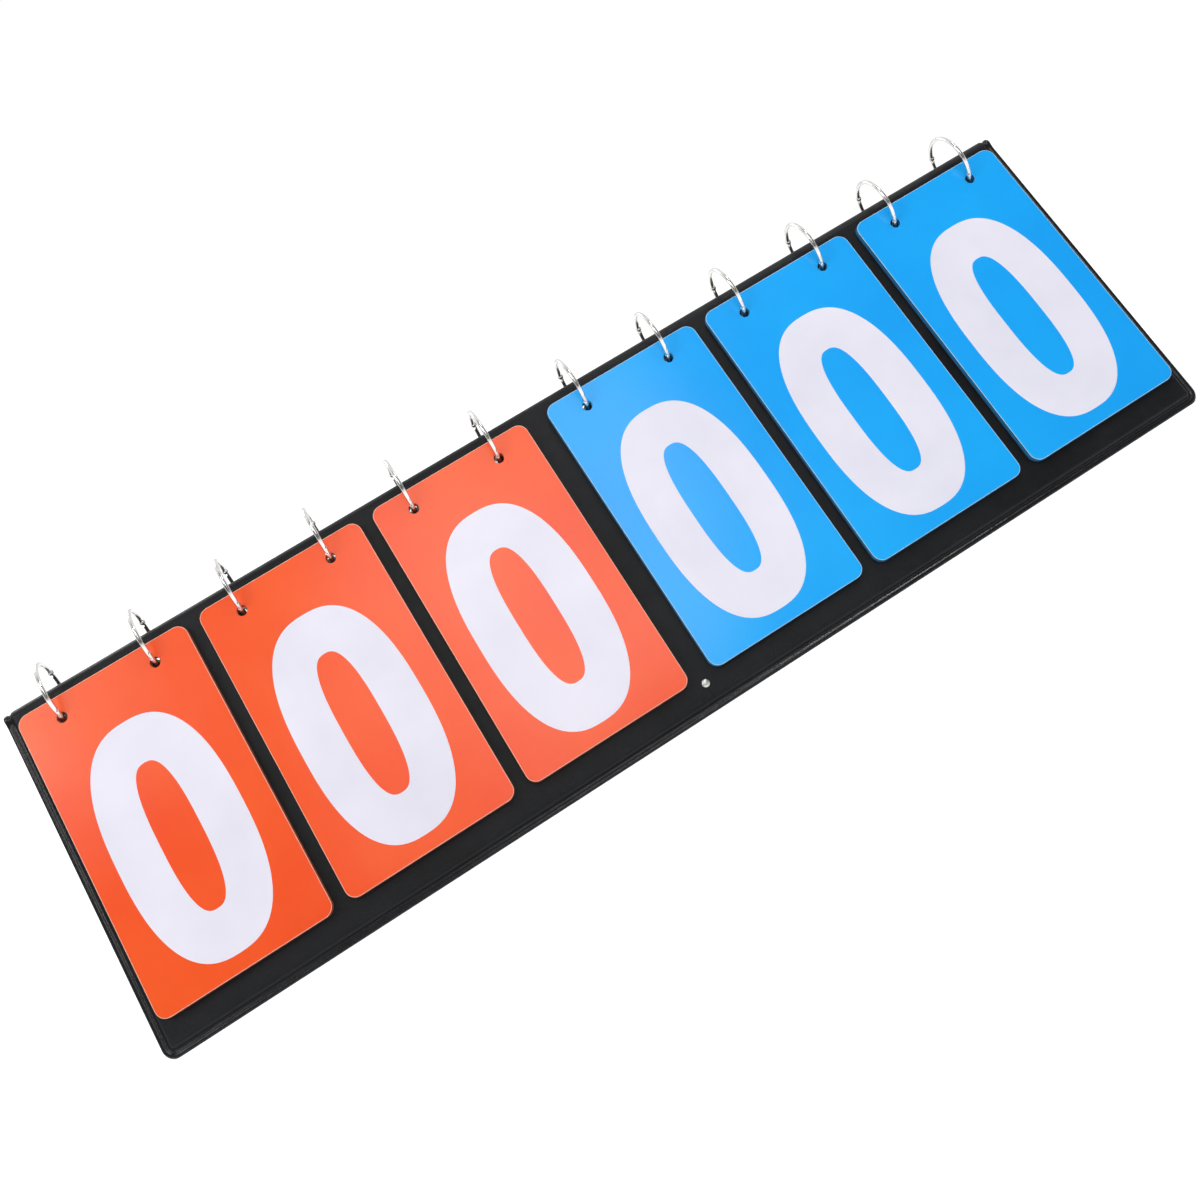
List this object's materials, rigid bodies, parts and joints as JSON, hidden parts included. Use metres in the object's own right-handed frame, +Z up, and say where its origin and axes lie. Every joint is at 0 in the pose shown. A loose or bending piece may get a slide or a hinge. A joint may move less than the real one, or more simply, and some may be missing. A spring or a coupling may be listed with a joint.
{
  "type": "tabletop flip scoreboard",
  "caption": "Tent-shaped tabletop scoreboard with number cards that turn over the top on wire rings",
  "frame": {"origin": "on the table, below the middle of the tent", "axes": "+X along the fold, to the right of someone who faces the cards; +Y away from that person; +Z up"},
  "size_m": [0.55, 0.1406, 0.1636],
  "materials": {
    "black_cover": "black grained PVC cover sheet, satin",
    "greyboard": "plain greyboard, matte",
    "stay_tape": "black woven tape",
    "orange_card": "orange-red printed PVC sheet, satin",
    "blue_card": "blue printed PVC sheet, satin",
    "number_ink": "white printing ink, satin",
    "plated_wire": "nickel-plated steel wire, bright"
  },
  "bodies": {
    "front_leaf": {"front_cover": "black_cover", "front_board": "greyboard", "front_lining": "black_cover", "fold_strip": "black_cover", "stay_strap": "stay_tape", "front_rivet": "plated_wire", "card_pack_1": "orange_card", "card_pack_2": "orange_card", "card_pack_3": "orange_card", "card_pack_4": "blue_card", "card_pack_5": "blue_card", "card_pack_6": "blue_card"},
    "rear_leaf": {"rear_cover": "black_cover", "rear_board": "greyboard", "rear_lining": "black_cover", "rear_rivet": "plated_wire"},
    "ring_pair_1": {"ring_pins_1": "plated_wire", "ring_hoop_1": "plated_wire", "ring_hoop_2": "plated_wire"},
    "ring_pair_2": {"ring_pins_2": "plated_wire", "ring_hoop_3": "plated_wire", "ring_hoop_4": "plated_wire"},
    "ring_pair_3": {"ring_pins_3": "plated_wire", "ring_hoop_5": "plated_wire", "ring_hoop_6": "plated_wire"},
    "ring_pair_4": {"ring_pins_4": "plated_wire", "ring_hoop_7": "plated_wire", "ring_hoop_8": "plated_wire"},
    "ring_pair_5": {"ring_pins_5": "plated_wire", "ring_hoop_9": "plated_wire", "ring_hoop_10": "plated_wire"},
    "ring_pair_6": {"ring_pins_6": "plated_wire", "ring_hoop_11": "plated_wire", "ring_hoop_12": "plated_wire"},
    "front_card_1": {"flip_card_1": "orange_card"},
    "front_card_2": {"flip_card_2": "orange_card"},
    "front_card_3": {"flip_card_3": "orange_card"},
    "front_card_4": {"flip_card_4": "blue_card"},
    "front_card_5": {"flip_card_5": "blue_card"},
    "front_card_6": {"flip_card_6": "blue_card"},
    "gate_1": {"ring_gate_1": "plated_wire"},
    "gate_2": {"ring_gate_2": "plated_wire"},
    "gate_3": {"ring_gate_3": "plated_wire"},
    "gate_4": {"ring_gate_4": "plated_wire"},
    "gate_5": {"ring_gate_5": "plated_wire"},
    "gate_6": {"ring_gate_6": "plated_wire"},
    "gate_7": {"ring_gate_7": "plated_wire"},
    "gate_8": {"ring_gate_8": "plated_wire"},
    "gate_9": {"ring_gate_9": "plated_wire"},
    "gate_10": {"ring_gate_10": "plated_wire"},
    "gate_11": {"ring_gate_11": "plated_wire"},
    "gate_12": {"ring_gate_12": "plated_wire"}
  },
  "joints": [
    {"name": "leaf_fold", "type": "hinge", "parent": "front_leaf", "child": "rear_leaf", "pos_m": [0, 0, 0.14607], "axis": [-1, 0, 0], "range_deg": [0, 50], "deforming": ["fold_strip", "stay_strap"]},
    {"name": "card_turn_1", "type": "hinge", "parent": "front_leaf", "child": "ring_pair_1", "pos_m": [0, -0.0008, 0.14801], "axis": [-1, 0, 0], "range_deg": [0, 266.1]},
    {"name": "card_turn_2", "type": "hinge", "parent": "front_leaf", "child": "ring_pair_2", "pos_m": [0, -0.0008, 0.14801], "axis": [-1, 0, 0], "range_deg": [0, 266.1]},
    {"name": "card_turn_3", "type": "hinge", "parent": "front_leaf", "child": "ring_pair_3", "pos_m": [0, -0.0008, 0.14801], "axis": [-1, 0, 0], "range_deg": [0, 266.1]},
    {"name": "card_turn_4", "type": "hinge", "parent": "front_leaf", "child": "ring_pair_4", "pos_m": [0, -0.0008, 0.14801], "axis": [-1, 0, 0], "range_deg": [0, 266.1]},
    {"name": "card_turn_5", "type": "hinge", "parent": "front_leaf", "child": "ring_pair_5", "pos_m": [0, -0.0008, 0.14801], "axis": [-1, 0, 0], "range_deg": [0, 266.1]},
    {"name": "card_turn_6", "type": "hinge", "parent": "front_leaf", "child": "ring_pair_6", "pos_m": [0, -0.0008, 0.14801], "axis": [-1, 0, 0], "range_deg": [0, 266.1]},
    {"name": "card_swing_1", "type": "hinge", "parent": "ring_pair_1", "child": "front_card_1", "pos_m": [0, -0.01205, 0.13887], "axis": [-1, 0, 0], "range_deg": [0, 43.41]},
    {"name": "card_swing_2", "type": "hinge", "parent": "ring_pair_2", "child": "front_card_2", "pos_m": [0, -0.01205, 0.13887], "axis": [-1, 0, 0], "range_deg": [0, 43.41]},
    {"name": "card_swing_3", "type": "hinge", "parent": "ring_pair_3", "child": "front_card_3", "pos_m": [0, -0.01205, 0.13887], "axis": [-1, 0, 0], "range_deg": [0, 43.41]},
    {"name": "card_swing_4", "type": "hinge", "parent": "ring_pair_4", "child": "front_card_4", "pos_m": [0, -0.01205, 0.13887], "axis": [-1, 0, 0], "range_deg": [0, 43.41]},
    {"name": "card_swing_5", "type": "hinge", "parent": "ring_pair_5", "child": "front_card_5", "pos_m": [0, -0.01205, 0.13887], "axis": [-1, 0, 0], "range_deg": [0, 43.41]},
    {"name": "card_swing_6", "type": "hinge", "parent": "ring_pair_6", "child": "front_card_6", "pos_m": [0, -0.01205, 0.13887], "axis": [-1, 0, 0], "range_deg": [0, 43.41]},
    {"name": "ring_open_1", "type": "hinge", "parent": "ring_pair_1", "child": "gate_1", "pos_m": [-0.2505, 0.01201, 0.15482], "axis": [1, 0, 0], "range_deg": [-60, 0]},
    {"name": "ring_open_2", "type": "hinge", "parent": "ring_pair_1", "child": "gate_2", "pos_m": [-0.2045, 0.01265, 0.15344], "axis": [1, 0, 0], "range_deg": [-60, 0]},
    {"name": "ring_open_3", "type": "hinge", "parent": "ring_pair_2", "child": "gate_3", "pos_m": [-0.1605, 0.01224, 0.15437], "axis": [1, 0, 0], "range_deg": [-60, 0]},
    {"name": "ring_open_4", "type": "hinge", "parent": "ring_pair_2", "child": "gate_4", "pos_m": [-0.1145, 0.01283, 0.15297], "axis": [1, 0, 0], "range_deg": [-60, 0]},
    {"name": "ring_open_5", "type": "hinge", "parent": "ring_pair_3", "child": "gate_5", "pos_m": [-0.0705, 0.01245, 0.15391], "axis": [1, 0, 0], "range_deg": [-60, 0]},
    {"name": "ring_open_6", "type": "hinge", "parent": "ring_pair_3", "child": "gate_6", "pos_m": [-0.0245, 0.01201, 0.15482], "axis": [1, 0, 0], "range_deg": [-60, 0]},
    {"name": "ring_open_7", "type": "hinge", "parent": "ring_pair_4", "child": "gate_7", "pos_m": [0.0245, 0.01265, 0.15344], "axis": [1, 0, 0], "range_deg": [-60, 0]},
    {"name": "ring_open_8", "type": "hinge", "parent": "ring_pair_4", "child": "gate_8", "pos_m": [0.0705, 0.01224, 0.15437], "axis": [1, 0, 0], "range_deg": [-60, 0]},
    {"name": "ring_open_9", "type": "hinge", "parent": "ring_pair_5", "child": "gate_9", "pos_m": [0.1145, 0.01283, 0.15297], "axis": [1, 0, 0], "range_deg": [-60, 0]},
    {"name": "ring_open_10", "type": "hinge", "parent": "ring_pair_5", "child": "gate_10", "pos_m": [0.1605, 0.01245, 0.15391], "axis": [1, 0, 0], "range_deg": [-60, 0]},
    {"name": "ring_open_11", "type": "hinge", "parent": "ring_pair_6", "child": "gate_11", "pos_m": [0.2045, 0.01201, 0.15482], "axis": [1, 0, 0], "range_deg": [-60, 0]},
    {"name": "ring_open_12", "type": "hinge", "parent": "ring_pair_6", "child": "gate_12", "pos_m": [0.2505, 0.01265, 0.15344], "axis": [1, 0, 0], "range_deg": [-60, 0]}
  ],
  "couplings": [
    {"joint": "card_swing_1", "follows": "card_turn_1", "ratio": 0.16312},
    {"joint": "card_swing_2", "follows": "card_turn_2", "ratio": 0.16312},
    {"joint": "card_swing_3", "follows": "card_turn_3", "ratio": 0.16312},
    {"joint": "card_swing_4", "follows": "card_turn_4", "ratio": 0.16312},
    {"joint": "card_swing_5", "follows": "card_turn_5", "ratio": 0.16312},
    {"joint": "card_swing_6", "follows": "card_turn_6", "ratio": 0.16312}
  ]
}
